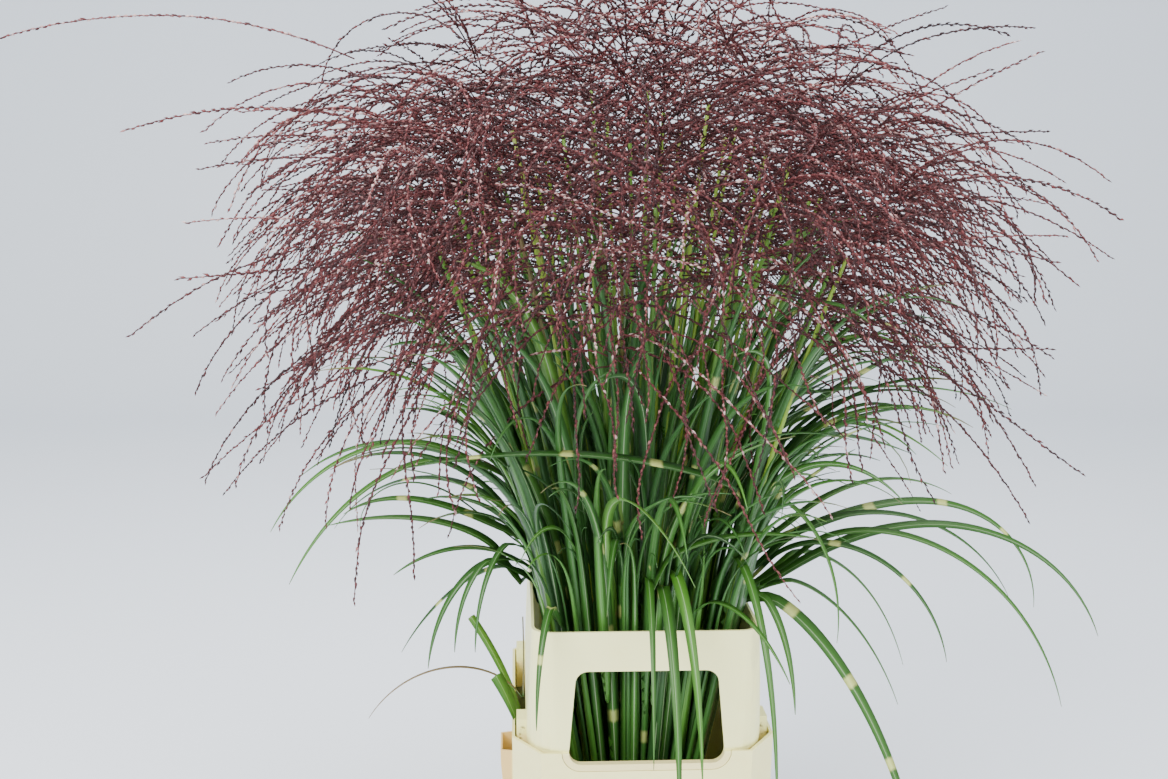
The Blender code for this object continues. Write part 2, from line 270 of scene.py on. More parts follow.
def new_material(name, roughness, specular=0.5):
    """A material with a Principled shader, as (material, node tree, shader)."""
    material = bpy.data.materials.new(name)
    material.use_nodes = True
    shader = material.node_tree.nodes["Principled BSDF"]
    shader.inputs["Roughness"].default_value = roughness
    shader.inputs["Specular IOR Level"].default_value = specular
    return material, material.node_tree, shader


# %% [markdown]
# ### Mottle and grain
# Mottle is the soft unevenness of any surface: two sizes of noise mixed to one
# value.  Grain is noise drawn out along one direction, which gives the veins of
# a leaf when it runs along the leaf's own length.

# %% Mottle and grain groups
def mottle_group():
    """Value: 0.65 of a wide noise plus 0.35 of a fine one, whose scale is Scale times Fine."""
    group, start, end = new_group(
        "mottle",
        [("Vector", "NodeSocketVector", None), ("Scale", "NodeSocketFloat", 10.0),
         ("Fine", "NodeSocketFloat", 6.0)],
        [("Value", "NodeSocketFloat")],
    )
    wide = group.nodes.new("ShaderNodeTexNoise")
    wide.inputs["Detail"].default_value = 2.0
    group.links.new(start.outputs["Vector"], wide.inputs["Vector"])
    group.links.new(start.outputs["Scale"], wide.inputs["Scale"])
    fine = group.nodes.new("ShaderNodeTexNoise")
    fine.inputs["Detail"].default_value = 3.0
    group.links.new(start.outputs["Vector"], fine.inputs["Vector"])
    scale = math_node(group, "MULTIPLY", start.outputs["Scale"], start.outputs["Fine"])
    group.links.new(scale, fine.inputs["Scale"])
    part = math_node(group, "MULTIPLY", wide.outputs[0], 0.65)
    rest = math_node(group, "MULTIPLY", fine.outputs[0], 0.35)
    group.links.new(math_node(group, "ADD", part, rest), end.inputs["Value"])
    return group


def grain_group():
    """Value: noise at (Across times Veins, Along times Length, Seed times 40), so that it is
    drawn out along one direction and differs from one blade or stem to the next."""
    group, start, end = new_group(
        "grain",
        [("Across", "NodeSocketFloat", 0.0), ("Along", "NodeSocketFloat", 0.0),
         ("Seed", "NodeSocketFloat", 0.0), ("Veins", "NodeSocketFloat", 9.0),
         ("Length", "NodeSocketFloat", 3.0)],
        [("Value", "NodeSocketFloat")],
    )
    join = group.nodes.new("ShaderNodeCombineXYZ")
    across = math_node(group, "MULTIPLY", start.outputs["Across"], start.outputs["Veins"])
    along = math_node(group, "MULTIPLY", start.outputs["Along"], start.outputs["Length"])
    group.links.new(across, join.inputs[0])
    group.links.new(along, join.inputs[1])
    group.links.new(math_node(group, "MULTIPLY", start.outputs["Seed"], 40.0), join.inputs[2])
    noise = group.nodes.new("ShaderNodeTexNoise")
    noise.inputs["Scale"].default_value = 1.0
    noise.inputs["Detail"].default_value = 3.0
    group.links.new(join.outputs[0], noise.inputs["Vector"])
    group.links.new(noise.outputs[0], end.inputs["Value"])
    return group


def use_group(tree, group, **values):
    """Places a node group and gives its first output: a number is set on the input of that
    name, and a socket is linked to it."""
    node = tree.nodes.new("ShaderNodeGroup")
    node.node_tree = group
    for label, value in values.items():
        if isinstance(value, (int, float)):
            node.inputs[label].default_value = value
        else:
            tree.links.new(value, node.inputs[label])
    return node.outputs[0]


MOTTLE = mottle_group()
GRAIN = grain_group()
print("effects:", MOTTLE.name, GRAIN.name)

# %% [markdown]
# ### Cream plastic
# Both container parts are the same moulded plastic.  Peach and tan are painted into
# the colour of its hollows: a painted glow that stands in for light passing through
# the plastic and bouncing between its walls, at the sill in the tub's notch, the side
# pockets and the gap round the lugs.  Handling has left faint grey scuffs, and dirt sits
# in the lugs' holes.

# %% Cream plastic
def band(tree, value, low, high, soft):
    """1 where the value lies between low and high, with edges soft wide."""
    rise = math_node(tree, "DIVIDE", math_node(tree, "SUBTRACT", value, low), soft, clamp=True)
    fall = math_node(tree, "DIVIDE", math_node(tree, "SUBTRACT", high, value), soft, clamp=True)
    return math_node(tree, "MULTIPLY", rise, fall)


def spot(tree, place, centre, radius, soft):
    """1 inside a ball round the centre, fading to 0 over soft."""
    gap = tree.nodes.new("ShaderNodeVectorMath")
    gap.operation = "DISTANCE"
    tree.links.new(place, gap.inputs[0])
    gap.inputs[1].default_value = centre
    near = math_node(tree, "SUBTRACT", radius, gap.outputs["Value"])
    return math_node(tree, "DIVIDE", near, soft, clamp=True)


def cream_plastic(name, pale, warm, painted_glow_masks, dirt_spots):
    """Pale to warm cream by the mottle, then the painted glow tints, which are painted light in
    the hollows, then scuffs where a noise stretched upwards is high, then dirt where a ball round
    each spot meets a crumbly noise.  Roughness is 0.27 plus 0.22 times the mottle."""
    material, tree, shader = new_material(name, 0.38, 0.45)
    place, x, y, z = object_place(tree)
    tone = use_group(tree, MOTTLE, Vector=place, Scale=9.0, Fine=9.0)
    colour = mix_colour(tree, band(tree, tone, 0.45, 2.0, 0.25), pale, warm)
    # Painted glow: peach and tan painted into the colour of the hollows, standing in for light through the
    # plastic
    for mask, tint in painted_glow_masks(tree, place, x, y, z):
        colour = mix_colour(tree, mask, colour, tint)
    scuff = tree.nodes.new("ShaderNodeTexNoise")
    scuff.inputs["Scale"].default_value = 26.0
    scuff.inputs["Detail"].default_value = 6.0
    stretch = tree.nodes.new("ShaderNodeMapping")
    stretch.inputs["Scale"].default_value = (1.0, 1.0, 0.22)
    tree.links.new(place, stretch.inputs["Vector"])
    tree.links.new(stretch.outputs[0], scuff.inputs["Vector"])
    marks = band(tree, scuff.outputs[0], 0.655, 2.0, 0.05)
    colour = mix_colour(tree, math_node(tree, "MULTIPLY", marks, 0.22), colour, (0.36, 0.33, 0.22))
    crumbs = tree.nodes.new("ShaderNodeTexNoise")
    crumbs.inputs["Scale"].default_value = 260.0
    crumbs.inputs["Detail"].default_value = 3.0
    tree.links.new(place, crumbs.inputs["Vector"])
    above_middle = math_node(tree, "SUBTRACT", crumbs.outputs[0], 0.45)
    rough_edge = math_node(tree, "MULTIPLY", above_middle, 6.0, clamp=True)
    for centre, radius in dirt_spots:
        near = spot(tree, place, centre, radius, radius * 0.7)
        dirt = math_node(tree, "MULTIPLY", near, rough_edge, clamp=True)
        colour = mix_colour(tree, dirt, colour, (0.075, 0.040, 0.018))
    tree.links.new(colour, shader.inputs["Base Color"])
    gloss = math_node(tree, "ADD", math_node(tree, "MULTIPLY", tone, 0.22), 0.27)
    tree.links.new(gloss, shader.inputs["Roughness"])
    bump = tree.nodes.new("ShaderNodeBump")
    bump.inputs["Strength"].default_value = 0.08
    bump.inputs["Distance"].default_value = 0.001
    tree.links.new(tone, bump.inputs["Height"])
    tree.links.new(bump.outputs[0], shader.inputs["Normal"])
    return material


# Colours of the painted glow: painted light standing in for light through and between the plastic walls
PAINTED_PEACH_GLOW = (0.84, 0.66, 0.30)
PAINTED_TAN_GLOW = (0.72, 0.44, 0.16)


def collar_painted_glow(tree, place, x, y, z):
    """Painted glow: peach, at 0.6 strength, on all of the collar that lies below the tub's rim, standing in
    for light through and between the plastic walls.
    """
    # painted glow, standing in for light, on the collar below the rim
    painted_glow_below_rim = math_node(tree, "MULTIPLY", band(tree, z, 0.2, RIM + 0.0005, 0.004), 0.6)
    return [(painted_glow_below_rim, PAINTED_PEACH_GLOW)]


def tub_painted_glow(tree, place, x, y, z):
    """Painted glow: tan, at 0.85 strength, on what stands out past the tub's sides: the hand-grip pockets,
    standing in for their shade and the light through the plastic.
    """
    side = math_node(tree, "ABSOLUTE", x)
    pocket_painted_glow = band(tree, side, TUB_SIDE - 0.0005, 0.3, 0.002)
    # painted shade and glow on the pockets, not the plastic's own colour
    return [(math_node(tree, "MULTIPLY", pocket_painted_glow, 0.85), PAINTED_TAN_GLOW)]


LUG_FACE = TUB_FRONT + 0.057
DIRT = ((0.1290, 0.004, 0.0042), (0.1325, -0.004, 0.0050))    # out from the middle, above the rim, radius
dirt_places = []
for side in (-1.0, 1.0):
    for end in (-1.0, 1.0):
        for out, above_rim, size in DIRT:
            dirt_places.append(((side * out, end * LUG_FACE, RIM + above_rim), size))
collar_plastic = cream_plastic(
    "collar plastic", (0.97, 0.94, 0.44), (0.95, 0.90, 0.39), collar_painted_glow, dirt_places)
tub_plastic = cream_plastic("tub plastic", (0.97, 0.91, 0.42), (0.94, 0.85, 0.36), tub_painted_glow, [])
moulded = {
    "collar": collar_plastic,
    "tub": tub_plastic,
    "pocket_left": tub_plastic,
    "pocket_right": tub_plastic,
}
for node, material in moulded.items():
    nodes[node].data.materials.clear()
    nodes[node].data.materials.append(material)
print("cream plastic on", ", ".join(moulded))

# %% [markdown]
# ## The fan of stems
# A stem is named by its place in the unit circle of the bundle.  At every height
# the bundle is an ellipse, so a stem's path is its place times the ellipse's half
# sizes, and no two stems can cross.  A sunflower spiral spreads the places evenly,
# and is then pushed out towards the collar's corners.

# %% Stem paths
STEM_COUNT = 56
GOLDEN_ANGLE = math.pi * (3.0 - math.sqrt(5.0))
FAN_START_ACROSS, FAN_START_ALONG = 0.032, 0.060
FAN_SLOPE_ACROSS, FAN_SLOPE_ALONG = 0.193, 0.235
FAN_FLARE = 0.35
STEM_FOOT = 0.0050
SQUARENESS = 7.0            # 2 is a round bundle; more fills the collar's corners
OUTER_STEM = 0.96
MIDDLE_TOP, EDGE_DROP, TOP_SCATTER, HIGHEST_TOP = 0.960, 0.185, 0.022, 0.985
dice = np.random.default_rng(11)


def fan(height):
    """Half sizes of the bundle at a height: straight lines, plus a square term above the collar."""
    flare = FAN_FLARE * np.maximum(height - COLLAR_TOP, 0.0) ** 2
    across = FAN_START_ACROSS + FAN_SLOPE_ACROSS * height + flare
    return across, FAN_START_ALONG + FAN_SLOPE_ALONG * height


def stem_point(places, heights):
    """The point of each stem at its height."""
    across, along = fan(heights)
    return np.stack([places[:, 0] * across, places[:, 1] * along, heights], axis=-1)


order = np.arange(STEM_COUNT)
radius = np.sqrt((order + 0.5) / STEM_COUNT) * OUTER_STEM
spiral = np.stack([np.cos(order * GOLDEN_ANGLE), np.sin(order * GOLDEN_ANGLE)], axis=1)
to_corner = np.sum(np.abs(spiral) ** SQUARENESS, axis=1, keepdims=True) ** (-1.0 / SQUARENESS)
stem_places = spiral * radius[:, None] * to_corner
stem_tops = MIDDLE_TOP - EDGE_DROP * radius**2 + dice.normal(0.0, TOP_SCATTER, STEM_COUNT)
stem_tops = np.minimum(stem_tops, HIGHEST_TOP)
print("stems", STEM_COUNT, "tops", np.round([stem_tops.min(), stem_tops.max()], 3))

# %% [markdown]
# ### One stem for each plume of the model
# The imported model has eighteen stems, in three rings.  The real bundle has about
# three times as many, so each built group of stems stands for its nearest one.

# %% Groups of stems
MODEL_RINGS = ((9, 0.95, -90.0), (6, 0.62, -70.0), (3, 0.30, -30.0))
ring_places = []
for count, reach, first_turn in MODEL_RINGS:
    around = np.radians(first_turn) + np.arange(count) * 2.0 * math.pi / count
    ring_places.append(np.stack([reach * np.cos(around), reach * np.sin(around)], axis=1))
ring_places = np.concatenate(ring_places)
gaps = np.linalg.norm(stem_places[:, None, :] - ring_places[None, :, :], axis=2)
stem_group = np.argmin(gaps, axis=1)
for group in range(len(ring_places)):
    if not np.any(stem_group == group):
        stem_group[np.argmin(gaps[:, group])] = group
print("stems in each group", np.bincount(stem_group, minlength=len(ring_places)))

# %% [markdown]
# ### Stem material
# A stem's leaf sheaths are yellow-green and turn purple-brown where the sun
# reached them.  The mesh keeps how far up each point is and a number for each
# stem, and fine streaks run along it.

# %% Stem finish
stem_green, stem_tree, stem_shader = new_material("stem skin", 0.42, 0.4)
stem_tone = attribute(stem_tree, "tone")
stem_rise = attribute(stem_tree, "rise")
stem_across = attribute(stem_tree, "around")
streaks = use_group(
    stem_tree, GRAIN, Across=stem_across, Along=stem_rise, Seed=stem_tone, Veins=7.0, Length=9.0)
skin = ramp(stem_tree, stem_tone, [
    (0.00, (0.040, 0.120, 0.016)), (0.30, (0.105, 0.250, 0.025)), (0.55, (0.240, 0.400, 0.035)),
    (0.78, (0.330, 0.460, 0.050)), (0.90, (0.190, 0.150, 0.045)), (1.00, (0.120, 0.040, 0.028))])
skin = mix_colour(stem_tree, math_node(stem_tree, "MULTIPLY", streaks, 0.5), skin, (0.030, 0.085, 0.014))
stem_joint = attribute(stem_tree, "joint")
skin = mix_colour(stem_tree, math_node(stem_tree, "MULTIPLY", stem_joint, 0.7), skin, (0.150, 0.085, 0.035))
stem_tree.links.new(skin, stem_shader.inputs["Base Color"])
stem_gloss = math_node(stem_tree, "ADD", math_node(stem_tree, "MULTIPLY", streaks, 0.3), 0.28)
stem_tree.links.new(stem_gloss, stem_shader.inputs["Roughness"])

# %% [markdown]
# ### Stem meshes
# Round tubes with a swollen joint about every sixteen centimetres.  Three close
# rings make each joint, so that the rest of the tube can stay coarse.

# %% Stems
SIDES = 8
JOINTS = 6
JOINT_GAP = 0.155
JOINT_HALF = 0.0035         # how far the two outer rings stand from a joint's middle
JOINT_WIDTH = 0.0030
JOINT_SWELLING = 0.30
SHEATH_SWELLING = 0.28
SHEATH_SHARE = 0.92         # of the way from one joint to the next
FOOT_RADIUS, RADIUS_LOSS = 0.0031, 0.0016
TUBE_RINGS = 26
NO_TWO_ALIKE = 1e-6         # keeps rings that fall together apart


def circle(sides):
    """Unit circle corners, in rising angle."""
    turn = np.arange(sides) * 2.0 * math.pi / sides
    return np.cos(turn), np.sin(turn)


def build_stems(chosen, name):
    """Tubes round the fan's lines.  The radius falls evenly from foot to top, is larger while
    the sheath above each joint lasts, and swells at the joint as a bell curve of the distance."""
    places, tops = stem_places[chosen], stem_tops[chosen]
    first_joint = 0.045 + 0.100 * dice.random(len(places))
    joints = first_joint[:, None] + np.arange(JOINTS) * JOINT_GAP
    shares = np.linspace(0.0, 1.0, TUBE_RINGS)[None, :]
    even = STEM_FOOT + (tops[:, None] - STEM_FOOT) * shares
    near = (joints[:, :, None] + np.array([-JOINT_HALF, 0.0, JOINT_HALF])).reshape(len(places), -1)
    heights = np.sort(np.concatenate([even, np.minimum(near, tops[:, None])], axis=1), axis=1)
    heights = heights + np.arange(heights.shape[1]) * NO_TWO_ALIKE
    paths = stem_point(places[:, None, :].repeat(heights.shape[1], 1).reshape(-1, 2), heights.reshape(-1))
    paths = paths.reshape(len(places), -1, 3)
    gap = np.abs(heights[:, :, None] - joints[:, None, :]).min(axis=2)
    joint = np.exp(-(gap / JOINT_WIDTH) ** 2)
    above = (heights[:, :, None] - joints[:, None, :]) / JOINT_GAP
    in_sheath = np.where(above >= 0, above, np.inf).min(axis=2)
    left = SHEATH_SHARE - np.where(np.isfinite(in_sheath), in_sheath, 1.0)
    sheath = 1.0 + SHEATH_SWELLING * np.clip(left * 12.0, 0.0, 1.0)
    size = (FOOT_RADIUS - RADIUS_LOSS * heights / tops[:, None]) * sheath * (1.0 + JOINT_SWELLING * joint)
    level = level_of(np.arctan2(places[:, 1], places[:, 0] + 1e-9))
    _, side, up = frames_along(paths, level)
    across, above_axis = circle(SIDES)
    points = swept(paths, side, up, size[..., None] * across, size[..., None] * above_axis)
    tone = dice.random(len(places))
    ones = np.ones(points.shape[:3])
    values = {
        "tone": np.clip(tone[:, None, None] * 0.75 + 0.30 * heights[..., None] - 0.05, 0, 1) * ones,
        "rise": heights[..., None] * ones,
        "around": np.arange(SIDES) / SIDES * ones,
        "joint": joint[..., None] * ones,
    }
    faces = swept_faces(len(places), heights.shape[1], SIDES)
    return add_piece(name, points, faces, [stem_green], values)


for group in range(len(ring_places)):
    piece = build_stems(np.flatnonzero(stem_group == group), f"cut_stems_{group + 1:02d}")
    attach(piece, "root")
    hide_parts(f"stem_{group + 1:02d}")
print("stem groups built")

# %% [markdown]
# ## Plumes
# Each stem's top is a short axis from which thirty branches arch out and hang.  A
# branch is a thread with spikelets on alternate sides, each about seven millimetres
# long.  The finish goes from near black through burgundy to a pale pink on some
# spikelets, a painted highlight standing in for the light their silky hairs catch.

# %% Plume finish
plume_skin, plume_tree, plume_shader = new_material("plume spikelets", 0.62, 0.35)
plume_tint = attribute(plume_tree, "tint")
# The pale pink top of this ramp is a painted highlight; the lower stops are the spikelets' own dark burgundy
plume_colour_and_highlight = ramp(plume_tree, plume_tint, [
    (0.00, (0.013, 0.002, 0.003)), (0.30, (0.046, 0.007, 0.008)), (0.58, (0.110, 0.018, 0.019)),
    (0.80, (0.240, 0.070, 0.067)), (1.00, (0.700, 0.480, 0.450))])
plume_place = object_place(plume_tree)[0]
plume_patch = use_group(plume_tree, MOTTLE, Vector=plume_place, Scale=7.0, Fine=30.0)
plume_mask = math_node(plume_tree, "SUBTRACT", plume_patch, 0.35, clamp=True)
plume_colour_and_highlight = mix_colour(plume_tree, plume_mask, plume_colour_and_highlight, (0.100, 0.026, 0.027))
plume_tree.links.new(plume_colour_and_highlight, plume_shader.inputs["Base Color"])
plume_gloss = math_node(plume_tree, "ADD", math_node(plume_tree, "MULTIPLY", plume_patch, 0.3), 0.42)
plume_tree.links.new(plume_gloss, plume_shader.inputs["Roughness"])

# %% [markdown]
# ### Branches and spikelets
# A spikelet is a three-sided spindle of only six faces, since there are tens of
# thousands of them.  A branch that would leave the model's box is shortened.

# %% Branches and spikelets
RACHIS_SIDES = 3
THREAD_HALF = 0.00080
BRANCH_STEPS = 15
SPIKELET_GAP = 0.0046
SPIKELET_LENGTH = 0.0074
SPIKELET_HALF = 0.00155
WIDEST_AT = 0.42            # share of a spikelet's length
BOX_MARGIN = 0.035
FIT_ROUNDS = 4
FIT_EXCESS = 1.05
room_low = np.array(cad_box[0]) - BOX_MARGIN * np.array([0.3, 1.0, 0.0])
room_high = np.array(cad_box[1]) + BOX_MARGIN * np.array([1.0, 1.0, 0.9])


def branch_paths(starts, headings, lengths, first, last, bend, sway):
    """Arches, with a sideways sway that grows as the square of the share of the length."""
    paths = arches(starts, headings, lengths, first, last, bend, BRANCH_STEPS)
    share = np.linspace(0.0, 1.0, BRANCH_STEPS + 1)
    side = level_of(headings)
    wave = sway[:, None] * share**2 + 0.006 * np.sin(share * 9.0 + sway[:, None] * 300.0) * share
    return paths + side * (wave * lengths[:, None] * 4.0)[..., None]


def fitted_branches(starts, headings, lengths, first, last, bend, sway):
    """The same branches, each shortened until it stays in the model's box."""
    for _ in range(FIT_ROUNDS):
        paths = branch_paths(starts, headings, lengths, first, last, bend, sway)
        over = np.maximum(paths - room_high, room_low - paths).max(axis=(1, 2))
        lengths = lengths - np.maximum(over, 0.0) * FIT_EXCESS
    return branch_paths(starts, headings, lengths, first, last, bend, sway), lengths


def spindles(paths, lengths, tints, rng):
    """Spindles on alternate sides of each path: a foot, three corners where it is widest, and
    a tip, turned out from the path by about thirteen degrees."""
    counts = np.maximum((lengths / SPIKELET_GAP).astype(int), 8)
    owner = np.repeat(np.arange(len(paths)), counts)
    index = np.concatenate([np.arange(count) for count in counts])
    share = (index + 0.5) / counts[owner] * 0.94 + 0.06
    along = share * (paths.shape[1] - 1)
    low = np.minimum(along.astype(int), paths.shape[1] - 2)
    part = (along - low)[:, None]
    foot = paths[owner, low] * (1 - part) + paths[owner, low + 1] * part
    tangent = unit(paths[owner, low + 1] - paths[owner, low])
    guide = np.array([0.31, 0.52, 0.79])
    side = unit(np.cross(tangent, guide))
    up = np.cross(tangent, side)
    turn = index * math.pi + rng.normal(0.0, 0.55, len(index)) + owner * 1.7
    out = np.cos(turn)[:, None] * side + np.sin(turn)[:, None] * up
    splay = np.radians(rng.normal(13.0, 5.0, len(index)))[:, None]
    pointing = tangent * np.cos(splay) + out * np.sin(splay)
    cross = unit(np.cross(pointing, out))
    other = np.cross(pointing, cross)
    share = share[:, None]
    length = SPIKELET_LENGTH * rng.uniform(0.75, 1.2, len(index))[:, None] * (1.0 - 0.20 * share**3)
    half = SPIKELET_HALF * rng.uniform(0.75, 1.25, len(index))[:, None] * (1.0 - 0.28 * share**4)
    middle = foot + pointing * length * WIDEST_AT
    angles = np.arange(3) * 2.0 * math.pi / 3.0
    corners = [middle + half * (math.cos(a) * cross + math.sin(a) * other) for a in angles]
    points = np.stack([foot, *corners, foot + pointing * length], axis=1)
    tint = np.clip(tints[owner] + rng.normal(0.0, 0.22, len(index)), 0.0, 1.0)
    pattern = np.array([[0, 2, 1], [0, 3, 2], [0, 1, 3], [4, 1, 2], [4, 2, 3], [4, 3, 1]])
    faces = (np.arange(len(index))[:, None, None] * 5 + pattern).reshape(-1, 3)
    return points.reshape(-1, 3), faces, np.repeat(tint, 5)


def build_branches(name, starts, headings, lengths, first, last, bend, sway, tints, rng):
    """One mesh: a three-sided thread along each branch, which thins evenly from 1.15 to 0.55 of
    its half width, and the spindles on it."""
    paths, lengths = fitted_branches(starts, headings, lengths, first, last, bend, sway)
    _, side, up = frames_along(paths, level_of(headings))
    across, above = circle(RACHIS_SIDES)
    taper = np.linspace(1.15, 0.55, BRANCH_STEPS + 1)[None, :, None] * THREAD_HALF
    thread = swept(paths, side, up, taper * across, taper * above)
    thread = np.broadcast_to(thread, (len(paths), BRANCH_STEPS + 1, RACHIS_SIDES, 3))
    faces = swept_faces(len(paths), BRANCH_STEPS + 1, RACHIS_SIDES)
    spikelets, triangles, tint = spindles(paths, lengths, tints, rng)
    thread_tint = np.broadcast_to((tints * 0.8)[:, None, None], thread.shape[:3]).reshape(-1)
    points = np.concatenate([thread.reshape(-1, 3), spikelets])
    groups = [faces[0], faces[1], triangles + thread_tint.size]
    return add_piece(name, points, groups, [plume_skin], {"tint": np.concatenate([thread_tint, tint])})


# %% [markdown]
# ### How the branches hang
# A plume in the middle of the bundle opens all round.  One near the edge has
# fallen outwards, so its branches point away from the middle, start flatter and
# hang further.  Those on the right are shorter.  About one branch in six goes
# astray, which keeps the head from looking combed.

# %% Plumes
BRANCHES = 30
AXIS_BELOW_TOP, AXIS_PAST_TOP = 0.090, 0.105
SHORT_ON_RIGHT = 0.22
ASTRAY = 0.16
triangle_total = 0
for group in range(len(ring_places)):
    starts, headings, lengths, first, last, bend, sway, tints = ([] for _ in range(8))
    for stem in np.flatnonzero(stem_group == group):
        place, top, reach = stem_places[stem], stem_tops[stem], radius[stem]
        share = (np.arange(BRANCHES) + dice.random(BRANCHES)) / BRANCHES
        heights = top - AXIS_BELOW_TOP + (AXIS_PAST_TOP + AXIS_BELOW_TOP) * share
        base = stem_point(np.repeat(place[None, :], BRANCHES, 0), np.minimum(heights, top))
        tip, below = stem_point(np.stack([place, place]), np.array([top, top - 0.02]))
        lean = tip - below
        lean = unit(lean + np.array([place[0], place[1], 0.0]) * 0.012)
        base = base + lean * np.maximum(heights - top, 0.0)[:, None]
        outward = math.atan2(place[1], place[0])
        spread = np.interp(reach, [0.0, 0.5, 1.0], [2.6, 1.3, 0.80])
        astray = dice.random(BRANCHES) < ASTRAY
        starts.append(base)
        swing = dice.normal(0.0, spread, BRANCHES)
        headings.append(outward + swing + astray * dice.uniform(-2.0, 2.0, BRANCHES))
        rightward = max(0.0, math.cos(outward)) * reach
        reach_out = dice.uniform(0.20, 0.32, BRANCHES) * np.interp(share, [0, 1], [1.12, 0.80])
        lengths.append(reach_out * (1.0 - SHORT_ON_RIGHT * rightward))
        opening = np.interp(share, [0.0, 1.0], [32.0, 64.0]) - 26.0 * reach
        first.append(np.radians(opening + dice.normal(0.0, 13.0, BRANCHES)))
        fall = np.interp(reach, [0.0, 0.6, 1.0], [-8.0, -54.0, -76.0])
        last.append(np.radians(fall * (1.0 - 0.75 * astray) + dice.normal(0.0, 17.0, BRANCHES)))
        bend.append(dice.uniform(0.55, 1.0, BRANCHES))
        sway.append(dice.normal(0.0, 0.03, BRANCHES))
        tints.append(np.clip(dice.normal(0.44, 0.12) + dice.normal(0.0, 0.13, BRANCHES), 0.0, 1.0))
    rows = [np.concatenate(values) for values in (starts, headings, lengths, first, last, bend, sway, tints)]
    piece = build_branches(f"flower_plume_{group + 1:02d}", *rows, dice)
    triangle_total += sum(len(polygon.vertices) - 2 for polygon in piece.data.polygons)
    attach(piece, "root")
    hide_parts(f"plume_{group + 1:02d}")
print("plume triangles", triangle_total)

# %% [markdown]
# ### The lone branch
# One long branch has slipped out of the left side and arches far past the rest.

# %% Lone branch
lone = build_branches(
    "lone_branch", np.array([[-0.300, -0.060, 1.010]]), np.radians([176.0]), np.array([0.430]),
    np.radians([24.0]), np.radians([-24.0]), np.array([1.0]), np.array([0.0]), np.array([0.72]), dice)
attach(lone, "root")
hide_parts("raceme_lone")
print("lone branch", len(lone.data.vertices), "points")

# %% [markdown]
# ## Leaves
# A leaf is a long ribbon folded into a shallow V along its pale midrib.  It is
# swept like the stems, with four corners: two edges, the midrib's top and its
# underside.  The mesh keeps the distance along and across, so that veins, the
# midrib and the pale bands follow the blade however it bends.

# %% Leaf finish
def leaf_material(name, greens, underside):
    """Green by the blade's tone, then darker veins, a pale midrib where the distance across is
    under 0.085, pale bands near every whole number of the phase, brown dry tips, and the
    underside's own green at 0.35 strength."""
    material, tree, shader = new_material(name, 0.40, 0.45)
    across = attribute(tree, "across")
    reach = attribute(tree, "reach")
    tone = attribute(tree, "tone")
    veins = use_group(tree, GRAIN, Across=across, Along=reach, Seed=tone, Veins=10.0, Length=5.0)
    colour = ramp(tree, tone, greens)
    colour = mix_colour(tree, math_node(tree, "MULTIPLY", veins, 0.55), colour, (0.016, 0.060, 0.014))
    side = math_node(tree, "ABSOLUTE", across)
    rib = band(tree, side, -1.0, 0.085, 0.05)
    rib_strength = attribute(tree, "rib")
    colour = mix_colour(tree, math_node(tree, "MULTIPLY", rib, rib_strength), colour, (0.55, 0.66, 0.42))
    phase = attribute(tree, "phase")
    ragged = math_node(tree, "MULTIPLY", math_node(tree, "SUBTRACT", veins, 0.5), 0.06)
    shifted = math_node(tree, "ADD", math_node(tree, "ADD", phase, ragged), 0.5)
    cycle = math_node(tree, "ABSOLUTE", math_node(tree, "SUBTRACT", math_node(tree, "FRACT", shifted), 0.5))
    pale = math_node(tree, "MULTIPLY", band(tree, cycle, -1.0, 0.085, 0.035), attribute(tree, "banded"))
    colour = mix_colour(tree, math_node(tree, "MULTIPLY", pale, 0.85), colour, (0.60, 0.64, 0.19))
    dry = math_node(tree, "MULTIPLY", attribute(tree, "dry"), 0.9)
    colour = mix_colour(tree, dry, colour, (0.20, 0.13, 0.055))
    below = math_node(tree, "MULTIPLY", attribute(tree, "underside"), 0.35)
    colour = mix_colour(tree, below, colour, underside)
    tree.links.new(colour, shader.inputs["Base Color"])
    gloss = math_node(tree, "ADD", math_node(tree, "MULTIPLY", veins, 0.25), 0.28)
    tree.links.new(gloss, shader.inputs["Roughness"])
    bump = tree.nodes.new("ShaderNodeBump")
    bump.inputs["Strength"].default_value = 0.25
    bump.inputs["Distance"].default_value = 0.0006
    tree.links.new(veins, bump.inputs["Height"])
    tree.links.new(bump.outputs[0], shader.inputs["Normal"])
    return material


leaf_green = leaf_material("leaf blade", [
    (0.0, (0.014, 0.050, 0.008)), (0.35, (0.030, 0.118, 0.011)), (0.70, (0.075, 0.235, 0.016)),
    (1.0, (0.180, 0.400, 0.028))], (0.042, 0.130, 0.034))

# %% [markdown]
# ### Leaf shape
# A blade rises with its stem, then bends over and turns aside.  Its width swells
# from a narrow foot and runs out to a point.

# %% Leaf shape
LEAF_RINGS = 34
LEAF_THICK = 0.00035
LEAF_FOLD = 0.20
TWIST_AT_FOOT = 0.3
BAND_GAP = 0.105


def turned_arches(starts, headings, turns, lengths, first, last, bend, straight, steps):
    """Arches whose heading also turns: for the straight share both angles hold, and after it
    the slope and the heading move from their first to their last value."""
    share = np.linspace(0.0, 1.0, steps + 1)[None, :]
    eased = np.clip((share - straight[:, None]) / (1.0 - straight[:, None]), 0.0, 1.0)
    slope = first[:, None] + (last - first)[:, None] * eased ** bend[:, None]
    heading = headings[:, None] + turns[:, None] * eased
    step = (lengths / steps)[:, None]
    slope_mid = (slope[:, 1:] + slope[:, :-1]) / 2
    heading_mid = (heading[:, 1:] + heading[:, :-1]) / 2
    move = np.stack([np.cos(slope_mid) * np.cos(heading_mid), np.cos(slope_mid) * np.sin(heading_mid),
                     np.sin(slope_mid)], axis=-1) * step[..., None]
    path = np.concatenate([np.zeros((len(starts), 1, 3)), np.cumsum(move, axis=1)], axis=1)
    return starts[:, None, :] + path, heading


